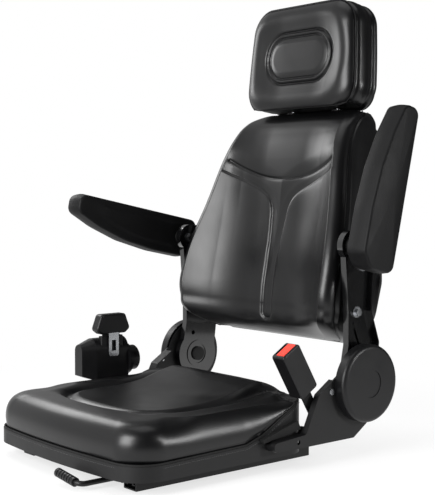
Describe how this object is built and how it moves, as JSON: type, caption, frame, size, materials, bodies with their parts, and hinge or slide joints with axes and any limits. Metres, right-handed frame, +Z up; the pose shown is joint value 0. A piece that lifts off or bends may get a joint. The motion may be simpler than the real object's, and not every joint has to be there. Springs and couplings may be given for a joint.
{
  "type": "tractor seat",
  "caption": "High-backed tractor seat on slide rails, with a reclining back, a headrest, folding armrests and a retracting lap belt.",
  "frame": {"origin": "middle of the four bolt holes of the slide rails, on the rails' underside", "axes": "+Z is up, the sitter faces -Y, and +X is the sitter's left"},
  "size_m": [0.69, 0.769, 0.9335],
  "materials": {
    "black_vinyl": "satin",
    "armrest_skin": "matte",
    "gloss_black_steel": "gloss",
    "matt_black_steel": "matte",
    "zinc_steel": "satin",
    "chromed_steel": "polished",
    "black_plastic": "matte",
    "nylon": "satin",
    "red_plastic": "gloss",
    "webbing": "woven",
    "black_rubber": "matte"
  },
  "bodies": {
    "base": {"left_lower_rail": "matt_black_steel", "right_lower_rail": "matt_black_steel"},
    "seat": {"left_upper_rail": "matt_black_steel", "right_upper_rail": "matt_black_steel", "left_rail_glides": "nylon", "right_rail_glides": "nylon", "left_side_block": "black_rubber", "right_side_block": "black_rubber", "left_side_bracket": "matt_black_steel", "right_side_bracket": "matt_black_steel", "left_recliner_cover": "black_plastic", "right_recliner_cover": "black_plastic", "left_recliner_pin": "zinc_steel", "right_recliner_pin": "zinc_steel", "left_recliner_bush": "zinc_steel", "right_recliner_bush": "zinc_steel", "seat_pan": "matt_black_steel", "pan_bolts": "zinc_steel", "seat_trim": "black_rubber", "seat_cushion": "black_vinyl", "bracket_screws": "zinc_steel", "slide_lever_lugs": "matt_black_steel", "retractor_frame": "matt_black_steel", "retractor_housing": "black_plastic", "retractor_anchor": "zinc_steel", "spring_cover": "black_plastic", "sensor_cover": "black_plastic", "belt_mouth": "black_plastic", "belt_strap": "webbing", "buckle_anchor": "zinc_steel"},
    "backrest": {"left_back_arm": "gloss_black_steel", "right_back_arm": "gloss_black_steel", "left_armrest_pin": "zinc_steel", "right_armrest_pin": "zinc_steel", "left_armrest_hub": "black_plastic", "right_armrest_hub": "black_plastic", "arm_bolts": "zinc_steel", "arm_spacers": "zinc_steel", "back_cushion": "black_vinyl", "back_shell": "black_vinyl", "back_trim": "black_rubber", "headrest_sleeves": "black_plastic"},
    "headrest": {"headrest_cushion": "black_vinyl", "headrest_back": "black_vinyl", "headrest_trim": "black_rubber", "headrest_posts": "chromed_steel"},
    "left_armrest": {"left_armrest_pad": "armrest_skin"},
    "right_armrest": {"right_armrest_pad": "armrest_skin"},
    "slide_lever": {"slide_lever_rod": "matt_black_steel", "slide_lever_grip": "black_plastic", "slide_latch": "matt_black_steel"},
    "recline_lever": {"recline_lever": "matt_black_steel", "recline_knob": "black_plastic"},
    "buckle": {"buckle_housing": "black_plastic", "buckle_stalk": "matt_black_steel"},
    "buckle_button": {"buckle_button": "red_plastic"},
    "belt_tongue": {"tongue_plate": "zinc_steel", "tongue_grip": "black_plastic"},
    "belt_spool": {"belt_spool": "zinc_steel", "belt_roll": "webbing"}
  },
  "joints": [
    {"name": "seat_slide", "type": "slide", "parent": "base", "child": "seat", "axis": [0, 1, 0], "range_m": [-0.075, 0.075]},
    {"name": "slide_lever_lift", "type": "hinge", "parent": "seat", "child": "slide_lever", "pos_m": [0.13, -0.1, 0.013], "axis": [0, 1, 0], "range_deg": [0, 15], "stiffness_Nm_per_rad": 4, "springref_deg": -8.59},
    {"name": "recline", "type": "hinge", "parent": "seat", "child": "backrest", "pos_m": [0, 0.285, 0.15], "axis": [1, 0, 0], "range_deg": [-30, 15]},
    {"name": "recline_lever_lift", "type": "hinge", "parent": "seat", "child": "recline_lever", "pos_m": [0, 0.285, 0.15], "axis": [1, 0, 0], "range_deg": [-20, 0], "stiffness_Nm_per_rad": 4, "springref_deg": 11.46},
    {"name": "left_armrest_fold", "type": "hinge", "parent": "backrest", "child": "left_armrest", "pos_m": [0, 0.263, 0.423], "axis": [1, 0, 0], "range_deg": [0, 92]},
    {"name": "right_armrest_fold", "type": "hinge", "parent": "backrest", "child": "right_armrest", "pos_m": [0, 0.263, 0.423], "axis": [1, 0, 0], "range_deg": [-92, 0]},
    {"name": "headrest_height", "type": "slide", "parent": "backrest", "child": "headrest", "axis": [0, 0.1908, 0.9816], "range_m": [0, 0.06]},
    {"name": "buckle_swing", "type": "hinge", "parent": "seat", "child": "buckle", "pos_m": [0.2505, 0.172, 0.098], "axis": [1, 0, 0], "range_deg": [-15, 3]},
    {"name": "buckle_release", "type": "slide", "parent": "buckle", "child": "buckle_button", "axis": [0, 0.515, -0.8572], "range_m": [0, 0.006], "stiffness_N_per_m": 800, "springref_m": -0.002},
    {"name": "belt_pull", "type": "slide", "parent": "seat", "child": "belt_tongue", "axis": [1, 0, 0], "range_m": [0, 0.45], "stiffness_N_per_m": 8, "springref_m": -0.4, "deforming": ["belt_strap"]},
    {"name": "belt_wind", "type": "hinge", "parent": "seat", "child": "belt_spool", "pos_m": [-0.29, 0.054, 0.152], "axis": [0, 1, 0], "range_deg": [-1500, 0]}
  ],
  "couplings": [
    {"joint": "belt_wind", "follows": "belt_pull", "rad_per_m": -55.9}
  ]
}
